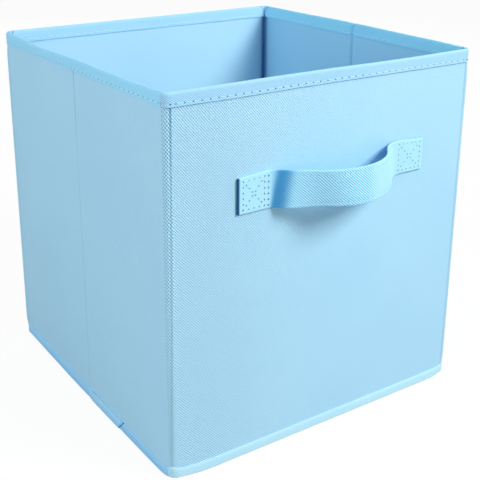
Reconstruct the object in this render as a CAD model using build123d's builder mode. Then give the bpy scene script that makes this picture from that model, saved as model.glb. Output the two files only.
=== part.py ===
"""Foldable fabric storage bin: boards sewn between cloth and lining, bound with tape, with a strap in front.

Millimetres, +Z up, front wall towards -Y, origin at the middle of the underside.
"""

import os
from math import asin, atan2, cos, degrees, hypot, radians, sin, tan

from build123d import *

# Overall size, over the outer cloth
bin_width = 267.0
bin_depth = 263.0
bin_height = 280.0

# Wall layers, from the outside in
cloth_thickness = 0.6
board_thickness = 1.6
lining_thickness = 0.6

# Binding tapes
tape_thickness = 0.6
rim_outer_leaf = 10.5
rim_inner_leaf = 10.0
hem_leaf = 8.0
hem_thickness = 1.0
seam_allowance = 1.2

# Base cloth under the bin, and the panel that lies on it
base_cloth_thickness = 0.6
panel_board_thickness = 1.4
panel_cover_thickness = 0.6
panel_edge_room = 1.5

# Gaps between pieces that move past each other
clearance = 0.3

# Carrying strap
strap_width = 27.0
strap_thickness = 1.8
strap_span = 118.0
strap_end_length = 25.0
strap_bow = 31.0
strap_off_centre = 4.0
strap_middle_height = 203.0
strap_crown_radius = 38.0
strap_root_radius = 4.0
strap_swing = 35.0

# Stitching that holds the strap ends
thread_width = 0.8
thread_height = 0.4
stitch_margin = 3.0

# Wall sections that follow from the layers
wall_thickness = cloth_thickness + board_thickness + lining_thickness
corner_skin = cloth_thickness + lining_thickness
panel_thickness = panel_board_thickness + 2 * panel_cover_thickness
panel_bottom = base_cloth_thickness + clearance
wall_bottom = panel_bottom + panel_thickness + clearance
wall_top = bin_height - tape_thickness

# The corner is round enough for the lifted panel to stand between a folded side and the front wall
corner_radius = wall_thickness + (panel_thickness + 3 * clearance) / 2
corner_x = bin_width / 2 - corner_radius
corner_y = bin_depth / 2 - corner_radius

os.makedirs("parts", exist_ok=True)


def write(piece, label):
    piece.label = label
    export_step(piece, f"parts/{label}.step")


def wall_slab(span, layer, facing, low, high):
    """Flat layer of the front or back wall: span along X, layer as depths in from the outer cloth."""
    near, far = (facing * (bin_depth / 2 - depth) for depth in layer)
    with BuildPart() as slab:
        with BuildSketch(Plane.XY.offset(low)):
            with Locations(((span[0] + span[1]) / 2, (near + far) / 2)):
                Rectangle(span[1] - span[0], abs(far - near))
        extrude(amount=high - low)
    return slab.part


def side_slab(span, layer, facing, low, high):
    """Flat layer of a side wall: span along Y, layer as depths in from the outer cloth."""
    near, far = (facing * (bin_width / 2 - depth) for depth in layer)
    with BuildPart() as slab:
        with BuildSketch(Plane.XY.offset(low)):
            with Locations(((near + far) / 2, (span[0] + span[1]) / 2)):
                Rectangle(abs(far - near), abs(span[1] - span[0]))
        extrude(amount=high - low)
    return slab.part


def corner_slab(layer, side, facing, low, high):
    """Quarter ring round a corner's fold axis, layer as depths in from the outer cloth."""
    outer = corner_radius - layer[0]
    inner = corner_radius - layer[1]
    with BuildPart() as slab:
        with BuildSketch(Plane.XY.offset(low)):
            with Locations((side * corner_x, facing * corner_y)):
                Circle(outer)
                Circle(inner, mode=Mode.SUBTRACT)
            with Locations((side * (corner_x + outer / 2), facing * (corner_y + outer / 2))):
                Rectangle(outer, outer, mode=Mode.INTERSECT)
        extrude(amount=high - low)
    return slab.part


# Layers as depths in from the outer cloth
outer_cloth = (0.0, cloth_thickness)
board = (cloth_thickness, cloth_thickness + board_thickness)
lining = (cloth_thickness + board_thickness, wall_thickness)
corner_cloth = (0.0, corner_skin)

# Folded tapes as (layer, low, high): two leaves and the fold between them
hem_tape = [
    ((-hem_thickness, 0.0), 0.0, hem_leaf),
    ((0.0, seam_allowance), 0.0, wall_bottom),
]


def rim_tape(thickness):
    """Leaves and fold of the rim tape over a wall of this thickness."""
    return [
        ((-tape_thickness, 0.0), bin_height - rim_outer_leaf, bin_height),
        ((0.0, thickness), wall_top, bin_height),
        ((thickness, thickness + tape_thickness), bin_height - rim_inner_leaf, bin_height),
    ]


# Front and back walls, each with its two soft corners
wall_span = (-corner_x, corner_x)
for wall, facing in (("front", -1), ("back", 1)):
    write(wall_slab(wall_span, outer_cloth, facing, wall_bottom, wall_top), f"{wall}_outer_cloth")
    write(wall_slab(wall_span, board, facing, wall_bottom, wall_top), f"{wall}_board")
    write(wall_slab(wall_span, lining, facing, wall_bottom, wall_top), f"{wall}_lining")
    for name, side in (("left", -1), ("right", 1)):
        write(corner_slab(corner_cloth, side, facing, wall_bottom, wall_top), f"{wall}_{name}_corner_cloth")

    with BuildPart() as rim_binding:
        for layer, low, high in rim_tape(wall_thickness):
            add(wall_slab(wall_span, layer, facing, low, high))
        for side in (-1, 1):
            for layer, low, high in rim_tape(corner_skin):
                add(corner_slab(layer, side, facing, low, high))
    write(rim_binding.part, f"{wall}_rim_binding")

    with BuildPart() as hem_binding:
        for layer, low, high in hem_tape:
            add(wall_slab(wall_span, layer, facing, low, high))
            for side in (-1, 1):
                add(corner_slab(layer, side, facing, low, high))
    write(hem_binding.part, f"{wall}_hem_binding")

# Side walls, each in two halves that fold inwards at the crease
for name, side in (("left", -1), ("right", 1)):
    for end, facing in (("front", -1), ("rear", 1)):
        half = f"{name}_{end}"
        half_span = sorted((facing * clearance, facing * (corner_y - clearance)))
        write(side_slab(half_span, outer_cloth, side, wall_bottom, wall_top), f"{half}_outer_cloth")
        write(side_slab(half_span, board, side, wall_bottom, wall_top), f"{half}_board")
        write(side_slab(half_span, lining, side, wall_bottom, wall_top), f"{half}_lining")

        with BuildPart() as rim_binding:
            for layer, low, high in rim_tape(wall_thickness):
                add(side_slab(half_span, layer, side, low, high))
        write(rim_binding.part, f"{half}_rim_binding")

        with BuildPart() as hem_binding:
            for layer, low, high in hem_tape:
                add(side_slab(half_span, layer, side, low, high))
        write(hem_binding.part, f"{half}_hem_binding")

# Base cloth, inside the hem, with corners round the fold axes
base_inset = seam_allowance + clearance
with BuildPart() as base_cloth:
    with BuildSketch():
        RectangleRounded(
            bin_width - 2 * base_inset,
            bin_depth - 2 * base_inset,
            corner_radius - base_inset,
        )
    extrude(amount=base_cloth_thickness)
write(base_cloth.part, "base_cloth")

# Base panel: a board in a cloth sleeve, whose round front edge turns about the lift axis
panel_round = panel_thickness / 2
lift_axis_y = -bin_depth / 2 + wall_thickness + clearance + panel_round
lift_axis_z = panel_bottom + panel_round
panel_rear = bin_depth / 2 - wall_thickness - panel_edge_room
panel_width = bin_width - 2 * (wall_thickness + panel_edge_room)
panel_plane = Plane.YZ.offset(-panel_width / 2)
with BuildPart() as base_panel_cover:
    with BuildSketch(panel_plane):
        with Locations((lift_axis_y, lift_axis_z)):
            Circle(panel_round)
        with Locations(((lift_axis_y + panel_rear) / 2, lift_axis_z)):
            Rectangle(panel_rear - lift_axis_y, panel_thickness)
        with Locations(((lift_axis_y + panel_rear - panel_cover_thickness) / 2, lift_axis_z)):
            Rectangle(
                panel_rear - panel_cover_thickness - lift_axis_y,
                panel_board_thickness,
                mode=Mode.SUBTRACT,
            )
    extrude(amount=panel_width)
write(base_panel_cover.part, "base_panel_cover")

with BuildPart() as base_panel_board:
    with BuildSketch(panel_plane):
        with Locations(((lift_axis_y + panel_rear - panel_cover_thickness) / 2, lift_axis_z)):
            Rectangle(panel_rear - panel_cover_thickness - lift_axis_y, panel_board_thickness)
    extrude(amount=panel_width)
write(base_panel_board.part, "base_panel_board")

# Strap: seen from above it lifts off the wall at each root, runs straight and rounds over a crown
strap_half = strap_span / 2
crown_reach = strap_bow - strap_thickness
bend_radii = strap_root_radius + strap_thickness + strap_crown_radius
flank = atan2(crown_reach - bend_radii, strap_half) + asin(
    bend_radii / hypot(strap_half, crown_reach - bend_radii)
)
flank_degrees = degrees(flank)

# The bow starts far enough out for its edges to swing without reaching the wall
bow_start = strap_width / 2 * tan(radians(strap_swing)) + clearance / cos(radians(strap_swing))
root_rise = (strap_root_radius + strap_thickness) * (1 - cos(flank))
root_run = (strap_root_radius + strap_thickness) * sin(flank)
bow_half = strap_half - root_run - (bow_start - root_rise) / tan(flank)

strap_plane = Plane(
    origin=(strap_off_centre, -bin_depth / 2, strap_middle_height + strap_width / 2),
    x_dir=(1, 0, 0),
    z_dir=(0, 0, -1),
)


def strap_face_line(lift):
    """Line of one strap face from root to root: lift 0 faces the wall, lift strap_thickness faces out."""
    root_radius = strap_root_radius + strap_thickness - lift
    crown_radius = strap_crown_radius + lift
    rise = JernArc((-strap_half, lift), (1, 0), root_radius, flank_degrees)
    crown_start = (-crown_radius * sin(flank), crown_reach - strap_crown_radius + crown_radius * cos(flank))
    up = Line(rise @ 1, crown_start)
    crown = JernArc(up @ 1, up % 1, crown_radius, -2 * flank_degrees)
    down = Line(crown @ 1, (strap_half - root_radius * sin(flank), (rise @ 1).Y))
    return JernArc(down @ 1, down % 1, root_radius, flank_degrees)


def strap_between(start, stop):
    """The stretch of strap from start to stop, measured along X from the strap's middle."""
    with BuildPart() as stretch:
        with BuildSketch(strap_plane):
            with BuildLine():
                strap_face_line(0)
                strap_face_line(strap_thickness)
                for root in (-strap_half, strap_half):
                    Line((root, 0), (root, strap_thickness))
            make_face()
            with Locations(((start + stop) / 2, strap_bow / 2)):
                Rectangle(stop - start, 2 * strap_bow, mode=Mode.INTERSECT)
        extrude(amount=strap_width)
    return stretch.part


write(strap_between(-bow_half, bow_half), "strap_bow")

stitch_plane = Plane.XZ.offset(bin_depth / 2 + strap_thickness)
stitch_length = strap_end_length - 2 * stitch_margin
stitch_width = strap_width - 2 * stitch_margin
cross_length = hypot(stitch_length, stitch_width)
cross_angle = degrees(atan2(stitch_width, stitch_length))
for name, side in (("left", -1), ("right", 1)):
    root_span = sorted((side * (bow_half + clearance), side * strap_half))
    write(strap_between(*root_span), f"strap_{name}_root")

    end_middle = strap_off_centre + side * (strap_half + strap_end_length / 2)
    with BuildPart() as strap_end:
        with BuildSketch(Plane.XZ.offset(bin_depth / 2)):
            with Locations((end_middle, strap_middle_height)):
                Rectangle(strap_end_length, strap_width)
        extrude(amount=strap_thickness)
    write(strap_end.part, f"strap_{name}_end")

    with BuildPart() as strap_stitching:
        with BuildSketch(stitch_plane):
            with Locations((end_middle, strap_middle_height)):
                Rectangle(stitch_length, stitch_width)
                Rectangle(stitch_length - 2 * thread_width, stitch_width - 2 * thread_width, mode=Mode.SUBTRACT)
                Rectangle(cross_length, thread_width, rotation=cross_angle)
                Rectangle(cross_length, thread_width, rotation=-cross_angle)
                Rectangle(stitch_length, stitch_width, mode=Mode.INTERSECT)
        extrude(amount=thread_height)
    write(strap_stitching.part, f"strap_{name}_stitching")

print("corner radius", corner_radius, "fold axis", corner_x, corner_y)
print("crease axis x", bin_width / 2 + tape_thickness + clearance)
print("lift axis y z", lift_axis_y, lift_axis_z)
print("bow half width", bow_half, "flank", flank_degrees)
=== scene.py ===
from math import atan2, cos, hypot, pi, radians, sin

import bmesh
import bpy
import numpy as np
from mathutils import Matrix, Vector, noise


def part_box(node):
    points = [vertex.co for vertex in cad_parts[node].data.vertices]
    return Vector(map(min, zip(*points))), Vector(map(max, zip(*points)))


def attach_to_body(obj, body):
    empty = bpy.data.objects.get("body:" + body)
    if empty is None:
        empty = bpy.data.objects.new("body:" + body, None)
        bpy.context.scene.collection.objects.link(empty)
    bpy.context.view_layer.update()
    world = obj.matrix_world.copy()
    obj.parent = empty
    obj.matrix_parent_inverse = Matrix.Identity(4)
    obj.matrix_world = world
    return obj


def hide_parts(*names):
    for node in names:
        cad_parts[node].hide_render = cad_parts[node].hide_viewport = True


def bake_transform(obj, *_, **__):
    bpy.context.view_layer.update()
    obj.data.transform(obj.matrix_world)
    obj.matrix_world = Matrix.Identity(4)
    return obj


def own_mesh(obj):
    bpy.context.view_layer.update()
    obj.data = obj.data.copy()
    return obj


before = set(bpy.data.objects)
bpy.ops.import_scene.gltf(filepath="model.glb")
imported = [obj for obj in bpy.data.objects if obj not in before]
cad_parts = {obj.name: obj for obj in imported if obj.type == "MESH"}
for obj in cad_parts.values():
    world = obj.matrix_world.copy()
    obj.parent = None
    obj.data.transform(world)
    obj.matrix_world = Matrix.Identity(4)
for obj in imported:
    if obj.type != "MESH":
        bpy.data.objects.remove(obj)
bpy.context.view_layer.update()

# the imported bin, in metres
clothLow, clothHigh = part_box("front_outer_cloth")
sideLow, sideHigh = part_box("left_front_outer_cloth")
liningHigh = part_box("front_lining")[1]
rimLow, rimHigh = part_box("front_rim_binding")
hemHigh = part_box("front_hem_binding")[1]
baseLow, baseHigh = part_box("base_cloth")
panelLow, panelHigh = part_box("base_panel_cover")
strapLow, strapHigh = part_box("strap_bow")
cornerX = clothHigh.x
halfWidth = -sideLow.x
halfDepth = -clothLow.y
cornerRadius = halfWidth - cornerX
cornerY = halfDepth - cornerRadius
wallThick = liningHigh.y - clothLow.y
wallBottom = clothLow.z
wallTop = clothHigh.z
hemTop = hemHigh.z
creaseGap = -sideHigh.y
frontRun = 2 * cornerX
sideRun = 2 * cornerY
cornerArc = pi / 2 * cornerRadius
halfRound = frontRun + sideRun + 2 * cornerArc
sideStart = cornerX + cornerArc
sideStop = sideStart + sideRun
creaseLine = sideStart + sideRun / 2
tapeStand = -rimLow.y - halfDepth
bendHeight = 0.14  # height given with the corner axis points
touching = 1e-6  # two places closer than this are the same
print("frame loaded", len(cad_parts), "nodes")


# modelling helpers

def pickOnly(piece):
    bpy.ops.object.select_all(action="DESELECT")
    piece.select_set(True)
    bpy.context.view_layer.objects.active = piece


def pickEdges(piece, test):
    mesh = bmesh.from_edit_mesh(piece.data)
    for kind in (mesh.faces, mesh.edges, mesh.verts):
        for part in kind:
            part.select_set(False)
    for edge in mesh.edges:
        if all(test(vert.co) for vert in edge.verts):
            edge.select_set(True)
    bmesh.update_edit_mesh(piece.data)


def getPoints(piece):
    points = np.empty(len(piece.data.vertices) * 3)
    piece.data.vertices.foreach_get("co", points)
    return points.reshape(-1, 3)


def setPoints(piece, points):
    piece.data.vertices.foreach_set("co", np.ascontiguousarray(points).ravel())
    piece.data.update()


def layUv(piece, across, up):
    layer = piece.data.uv_layers.active or piece.data.uv_layers.new(name="UVMap")
    corners = np.empty(len(piece.data.loops), np.int32)
    piece.data.loops.foreach_get("vertex_index", corners)
    layer.data.foreach_set("uv", np.stack([across[corners], up[corners]], 1).astype(np.float32).ravel())


def paintShade(piece, amount):
    # painted shade: how dark each point is painted in creases, grooves, corners, slits, under the tape and on
    # the strap, for the materials
    layer = piece.data.attributes.get("fold") or piece.data.attributes.new("fold", "FLOAT", "POINT")
    layer.data.foreach_set("value", np.clip(amount, 0, 1).astype(np.float32))


def smoothBy(piece, angle):
    pickOnly(piece)
    bpy.ops.object.shade_smooth_by_angle(angle=radians(angle))


def applyModifier(piece, kind, **settings):
    pickOnly(piece)
    modifier = piece.modifiers.new(kind.lower(), kind)
    for key, value in settings.items():
        setattr(modifier, key, value)
    bpy.ops.object.modifier_apply(modifier=modifier.name)


def roundEdges(piece, width, segments):
    applyModifier(piece, "BEVEL", width=width, segments=segments, limit_method="ANGLE",
                  angle_limit=radians(60))


def thicken(piece, thickness):
    applyModifier(piece, "SOLIDIFY", thickness=thickness, offset=-1)


def joinAll(name, pieces):
    bpy.ops.object.select_all(action="DESELECT")
    for piece in pieces:
        piece.select_set(True)
    bpy.context.view_layer.objects.active = pieces[0]
    if len(pieces) > 1:
        bpy.ops.object.join()
    pieces[0].name = pieces[0].data.name = name
    return pieces[0]


def extrudeBy(x, y, z):
    bpy.ops.mesh.extrude_region_move(TRANSFORM_OT_translate={"value": (x, y, z)})


def ripple(points, size, depth, seed):
    shift = Vector((seed * 7.3, seed * 3.1, seed * 5.7))
    return depth * np.array([noise.noise(Vector(point) / size + shift) for point in points])


def dip(gap, width):
    return np.exp(-(gap / width) ** 2)


def ramp(value, width):
    return np.clip(value / width, 0, 1)


def shapeNew(name):
    piece = bpy.context.object
    piece.name = piece.data.name = name
    bpy.ops.object.mode_set(mode="EDIT")
    return piece


def startGrid(name, columns, rows, kind):
    bpy.ops.object.select_all(action="DESELECT")
    bpy.ops.mesh.primitive_grid_add(x_subdivisions=columns, y_subdivisions=rows, size=1)
    grid = shapeNew(name)
    bpy.ops.mesh.select_mode(type=kind)
    bpy.ops.mesh.select_all(action="SELECT")
    return grid


# A strip lies flat along X, with -Y as its outside and Z up, until it is wrapped round the bin.
def flatStrip(name, start, stop, low, high, columns, rows, out):
    strip = startGrid(name, columns, rows, "EDGE")
    bpy.ops.transform.resize(value=(stop - start, high - low, 1))
    bpy.ops.transform.rotate(value=-pi / 2, orient_axis="X", center_override=(0, 0, 0))
    bpy.ops.transform.translate(value=((start + stop) / 2, -out, (low + high) / 2))
    return strip


def cutLines(places, way=(1, 0, 0)):
    for place in places:
        bpy.ops.mesh.select_all(action="SELECT")
        bpy.ops.mesh.bisect(plane_co=Vector(way) * place, plane_no=way)


def cutEnds(start, stop, gaps):
    cutLines([start + gap for gap in gaps] + [stop - gap for gap in gaps])


def cutCrease(middle, gaps):
    cutLines([middle] + [middle + side * gap for gap in gaps for side in (-1, 1)])


# the rim and the hem aren't quite level all round: lengths in mm at shares of each wall's run
# "top" lowers the rim's fold, "low" raises the tape's lower edge, "bottom" raises the hem
uneven = {
    "top": {"front": ((0, 0), (0.3, 0), (0.5, 0.3), (0.65, 0.9), (0.8, 1.1), (1, 0.8)),
            "right": ((0, 0.8), (0.12, 0.2), (0.25, 0), (0.45, -0.5), (0.6, -0.6), (0.75, -0.1), (1, 0)),
            "left": ((0, 0.5), (0.15, 1.3), (0.3, 1.3), (0.5, 1.1), (0.7, 2.2), (0.8, 2.2), (0.9, 1.0),
                     (1, 0.3))},
    "low": {"front": ((0, 1.1), (0.2, 0.6), (0.45, 0.8), (0.65, 0.3), (0.8, 0), (1, -0.4)),
            "right": ((0, -0.3), (0.2, 0)), "left": ((0, 1.3), (0.3, 0.9), (0.6, 0.7), (1, 0.3))},
    "bottom": {"front": ((0, 0.8), (0.06, 0.3), (0.12, 0)),
               "left": ((0, 0.8), (0.05, 0.3), (0.1, 0), (0.5, 0), (0.65, 0.5), (0.75, 1.3), (0.87, 1.4),
                        (1, 0.5))}}
pinch = {"share": 0.45, "from": 0.0085, "fade": 0.014, "bottomFade": 0.04, "crease": 0.7,
         "creaseWidth": 0.0013}
unevenLines = {}
for name, walls in uneven.items():
    knots = [(halfRound - cornerX, 0.0), (halfRound + cornerX, 0.0)]
    for side, levels in walls.items():
        for share, level in levels:
            if side == "front":
                place = share * frontRun - cornerX
            else:
                place = (sideStart + share * sideRun) * (1 if side == "right" else -1)
            knots.append((place % (2 * halfRound), level * 0.001))
    unevenLines[name] = np.array(sorted(knots)).T


def settle(points):
    # layers are pinched above the boards and at the creases, and the rim and the hem get their real heights
    along, depth, height = points.T
    rimShare = (height - rimLow.z) / (rimHigh.z - rimLow.z)
    top, low, bottom = (np.interp(along % (2 * halfRound), *unevenLines[name], period=2 * halfRound)
                        for name in ("top", "low", "bottom"))
    edge = np.clip(np.minimum(1 + (height - rimLow.z) / pinch["fade"], 1 - rimShare), 0, 1)
    z = height - top * np.clip(rimShare, 0, 1) + low * edge
    z = z + bottom * np.clip(1 - height / pinch["bottomFade"], 0, 1)
    squeeze = pinch["share"] * np.clip(1 - (rimHigh.z - height) / pinch["from"], 0, 1)
    crease = (along + cornerX) % halfRound - frontRun - cornerArc - sideRun / 2
    thin = (1 - squeeze) * (1 - pinch["crease"] * dip(crease, pinch["creaseWidth"]))
    return np.stack([along, np.where(depth > 0, depth * thin, depth), z], 1)


def onBin(points):
    points = settle(points)
    along = points[:, 0] + cornerX
    lap = np.floor(along / halfRound)
    along = along - lap * halfRound
    facing = np.where(lap % 2 == 0, 1.0, -1.0)
    ring = cornerRadius - points[:, 1]
    front = np.clip(along, 0, frontRun)
    side = np.clip(along - frontRun - cornerArc, 0, sideRun)
    turn = np.clip(along - frontRun, 0, cornerArc)
    turn = turn + np.clip(along - frontRun - cornerArc - sideRun, 0, cornerArc)
    turn = turn / cornerRadius
    x = facing * (front - cornerX + ring * np.sin(turn))
    y = facing * (side - cornerY - ring * np.cos(turn))
    return np.stack([x, y, points[:, 2]], 1)


def putOnBin(piece, angle=40, shadeOf=None):
    points = getPoints(piece)
    layUv(piece, points[:, 0], points[:, 2])
    # painted shade, worked out on the flat strip
    if shadeOf:
        paintShade(piece, shadeOf(points))
    setPoints(piece, onBin(points))
    smoothBy(piece, angle)
    return piece


# where the cloth is pressed in: both edges of each soft corner and the side creases
# at the front left the front groove is deepest, and drifts round the corner on its way down
groove = {"depth": 0.0008, "width": 0.0007, "inset": 0.0006, "drift": 0.0042, "others": 0.3, "atBottom": 0.45,
          "creaseDepth": 0.0007, "creaseWidth": 0.0008}
# painted shade in the grooves: how dark they are, and the shares of the height over which they darken upwards
groovePaintedShade = {"shade": 0.75, "lower": 0.4, "from": 0.8, "over": 0.12, "side": 0.3, "leftSide": 0.6,
              "crease": 0.3, "creaseLower": 0.4, "creaseUpper": 0.9, "creaseFrom": 0.75, "creaseOver": 0.25}


def nearFrontLeft(along):
    return (along < 0) & (along > -halfRound / 2)


def grooveLines(along, height=wallTop):
    place = (along + cornerX) % halfRound
    frontLeft = nearFrontLeft(along)
    drift = np.where(frontLeft, groove["drift"] * (1 - height / wallTop), 0)
    deeper = groove["atBottom"] + (1 - groove["atBottom"]) * height / wallTop
    wall = dip(place - frontRun - groove["inset"], groove["width"])
    wall = wall + dip(place - halfRound + groove["inset"] + drift, groove["width"]) * deeper
    side = dip(place - frontRun - cornerArc + groove["inset"] / 2, groove["width"])
    side = side + dip(place - halfRound + cornerArc - groove["inset"] / 2, groove["width"])
    crease = dip(place - frontRun - cornerArc - sideRun / 2, groove["creaseWidth"])
    return np.where(frontLeft, wall, wall * groove["others"]), side * groove["others"], crease


def pressed(along, height):
    wall, side, crease = grooveLines(along, height)
    return groove["depth"] * (wall + side) + groove["creaseDepth"] * crease


# painted shade along the grooves and the creases
def grooveShade(along, height):
    wall, side, crease = grooveLines(along, height)
    share = height / wallTop
    upper = ramp(share - groovePaintedShade["from"], groovePaintedShade["over"])
    wall = wall * (groovePaintedShade["lower"] + (1 - groovePaintedShade["lower"]) * upper)
    side = side * np.where(nearFrontLeft(along), groovePaintedShade["leftSide"], groovePaintedShade["side"])
    upper = ramp(share - groovePaintedShade["creaseFrom"], groovePaintedShade["creaseOver"])
    crease = crease * (groovePaintedShade["creaseLower"] + groovePaintedShade["creaseUpper"] * upper)
    return groovePaintedShade["shade"] * (wall + side) + groovePaintedShade["crease"] * crease


# how far the bottom edge curls up at each corner, and how far along the two walls the curl reaches
hemCurl = ((-cornerX - cornerArc / 2, 0.0026, 0.007, 0.016), (cornerX + cornerArc / 2, 0.0028, 0.009, 0.012),
           (-sideStop - cornerArc / 2, 0.0026, 0.02, 0.035), (sideStop + cornerArc / 2, 0.002, 0.02, 0.02))


def curled(along):
    lift = 0
    for place, height, before, after in hemCurl:
        gap = (along - place + halfRound) % (2 * halfRound) - halfRound
        lift = np.maximum(lift, height * dip(gap, np.where(gap < 0, before, after)))
    return lift


def curlBottom(points):
    points[:, 2] += curled(points[:, 0]) * np.clip(1 - points[:, 2] / hemTop, 0, 1)


def roundPlace(x, y):
    # where a point near the outline lies along the bin's round
    turn = np.arctan2(np.maximum(np.abs(x) - cornerX, 0), np.maximum(np.abs(y) - cornerY, 0))
    onSide = turn > pi / 2 - 0.001
    along = np.minimum(np.abs(x), cornerX) + turn * cornerRadius + onSide * (cornerY - np.abs(y))
    return np.where(x < 0, -1, 1) * np.where(y < 0, along, halfRound - along)


# materials

class Wire:
    def __init__(self, tree, socket=None):
        self.tree = tree
        self.socket = socket

    def node(self, kind, settings, inputs, out=0):
        made = self.tree.nodes.new(kind)
        for key, value in settings.items():
            setattr(made, key, value)
        for key, value in inputs.items():
            if isinstance(value, Wire):
                self.tree.links.new(value.socket, made.inputs[key])
            else:
                made.inputs[key].default_value = value
        return Wire(self.tree, made.outputs[out])

    def maths(self, operation, first, second=0.0):
        return self.node("ShaderNodeMath", {"operation": operation}, {0: first, 1: second})

    def mix(self, amount, first, second):
        return self.node("ShaderNodeMix", {"data_type": "RGBA"}, {0: amount, 6: first, 7: second}, 2)

    def axis(self, vector, number):
        return self.node("ShaderNodeSeparateXYZ", {}, {0: vector}, number)

    def noise(self, vector, scale, detail):
        return self.node("ShaderNodeTexNoise", {}, {"Vector": vector, "Scale": scale, "Detail": detail})

    def bump(self, strength, distance, height):
        return self.node("ShaderNodeBump", {}, {"Strength": strength, "Distance": distance, "Height": height})

    def between(self, low, high):
        return self.node("ShaderNodeMapRange", {"interpolation_type": "SMOOTHSTEP"},
                         {"Value": self, "From Min": low, "From Max": high})

    def feed(self, node, socket):
        self.tree.links.new(self.socket, node.inputs[socket])

    def __add__(self, other):
        return self.maths("ADD", self, other)

    def __radd__(self, other):
        return self.maths("ADD", other, self)

    def __sub__(self, other):
        return self.maths("SUBTRACT", self, other)

    def __rsub__(self, other):
        return self.maths("SUBTRACT", other, self)

    def __mul__(self, other):
        return self.maths("MULTIPLY", self, other)

    def __rmul__(self, other):
        return self.maths("MULTIPLY", other, self)


def tone(red, green, blue):
    def linear(level):
        level = level / 255
        return level / 12.92 if level <= 0.04045 else ((level + 0.055) / 1.055) ** 2.4
    return (linear(red), linear(green), linear(blue), 1)


def startLook(name):
    look = bpy.data.materials.new(name)
    look.use_nodes = True
    return look, look.node_tree.nodes["Principled BSDF"], Wire(look.node_tree)


# pressed non-woven cloth: a diagonal lattice with soft fibres, pressed deepest near the front left corner
weave = {"wobble": 240.0, "wobbleBy": 1.2, "cloud": 13.0, "fibre": 1700.0, "upFrom": (0.02, 0.25),
         "darkestShadeFrom": (0.86, 0.99), "roughCloud": 0.12, "roughLattice": 0.04, "fibreHeight": 0.5,
         "shine": 0.3, "sheenRough": 0.6}


def clothLook(name, values):
    look, bsdf, wire = startLook(name)
    flat = wire.node("ShaderNodeUVMap", {"uv_map": "UVMap"}, {})
    place = wire.node("ShaderNodeTexCoord", {}, {}, 3)
    x, z = wire.axis(place, 0), wire.axis(place, 2)
    wobble = wire.noise(flat, weave["wobble"], 1.0) * weave["wobbleBy"]
    cloud = wire.noise(place, weave["cloud"], 2.0) - 0.5
    fibre = wire.noise(place, weave["fibre"], 2.0)
    across = wire.axis(flat, 0) * (2 * pi / values["pitch"][0])
    up = wire.axis(flat, 1) * (2 * pi / values["pitch"][1])
    falling = wire.maths("SINE", across + up + wobble)
    rising = wire.maths("SINE", across - up + wobble)
    lattice = falling * values["falling"] + rising * values["rising"]
    deep = x.between(*values["starts"]) * (1 - values["before"]) + values["before"]
    upper = z.between(*weave["upFrom"]) * (1 - values["below"]) + values["below"]
    deep = deep * (1 - x.between(*values["fades"])) * upper
    deep = deep * (1 - values["least"]) + values["least"]
    pattern = lattice * deep
    shade = values["flat"] + deep * (values["middle"] - values["flat"]) - pattern * (values["contrast"] / 2)
    shade = shade + cloud * values["cloud"] + (fibre - 0.5) * values["fibre"]
    cloth = wire.mix(wire.maths("MAXIMUM", shade), values["pale"], values["dark"])
    # painted shade: the attribute painted on each piece mixes the cloth towards the look's deep and deepest
    # shade colours, broken up by the lattice where broken is set
    fold = wire.node("ShaderNodeAttribute", {"attribute_name": "fold"}, {}, 2)
    shadeColour = wire.mix(fold.between(*weave["darkestShadeFrom"]), values["deep"], values["deepest"])
    wire.mix(fold * (1 - pattern * values["broken"]), cloth, shadeColour).feed(bsdf, "Base Color")
    rough = values["rough"] + cloud * weave["roughCloud"] - pattern * weave["roughLattice"]
    rough.feed(bsdf, "Roughness")
    height = pattern + fibre * weave["fibreHeight"]
    wire.bump(values["bump"], values["emboss"], height).feed(bsdf, "Normal")
    bsdf.inputs["Specular IOR Level"].default_value = weave["shine"]
    bsdf.inputs["Sheen Weight"].default_value = values["sheen"]
    bsdf.inputs["Sheen Roughness"].default_value = weave["sheenRough"]
    return look


# navy, and the deep and deepest colour of each look, are the colours of painted shade
navy = tone(14, 52, 96)
outerValues = {
    "pale": tone(192, 237, 255), "dark": tone(92, 168, 222), "deep": tone(44, 116, 164), "deepest": navy,
    "pitch": (0.00194, 0.0021), "falling": 0.58, "rising": 0.42, "contrast": 0.87, "middle": 0.25,
    "flat": 0.28, "cloud": 0.12, "fibre": 0.12, "rough": 0.8, "bump": 0.8, "emboss": 0.0003, "sheen": 0.06,
    "starts": (-0.1334, -0.1328), "before": 0.2, "fades": (-0.125, 0.055), "below": 0.7, "least": 0.04,
    "broken": 0.6}
outerLook = clothLook("paleBlueCloth", outerValues)
cornerValues = {
    **outerValues, "dark": tone(48, 132, 186), "pitch": (0.0021, 0.00255), "falling": 0.62, "rising": 0.38,
    "contrast": 1.9, "middle": 0.16, "bump": 0.4, "starts": (-2.0, -1.0), "below": 0.12}
cornerLook = clothLook("cornerCloth", cornerValues)
# the back right corner's copy has bluer painted shade in its slit
backCornerShadeLook = clothLook("backCornerClothBlueShade", {
    **cornerValues, "deep": tone(4, 136, 220), "deepest": tone(0, 104, 190)})
liningValues = {
    "pale": tone(206, 245, 255), "dark": tone(104, 182, 240), "deep": tone(34, 104, 164),
    "deepest": tone(22, 80, 132), "pitch": (0.00194, 0.0021), "falling": 0.55, "rising": 0.45,
    "contrast": 0.12, "middle": 0.28, "flat": 0.28, "cloud": 0.12, "fibre": 0.08, "rough": 0.8, "bump": 0.3,
    "emboss": 0.0001, "sheen": 0.06, "starts": (-2.0, -1.0), "before": 1.0, "fades": (1.0, 2.0),
    "below": 1.0, "least": 0.3, "broken": 0.0}
liningLook = clothLook("liningCloth", liningValues)
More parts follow.
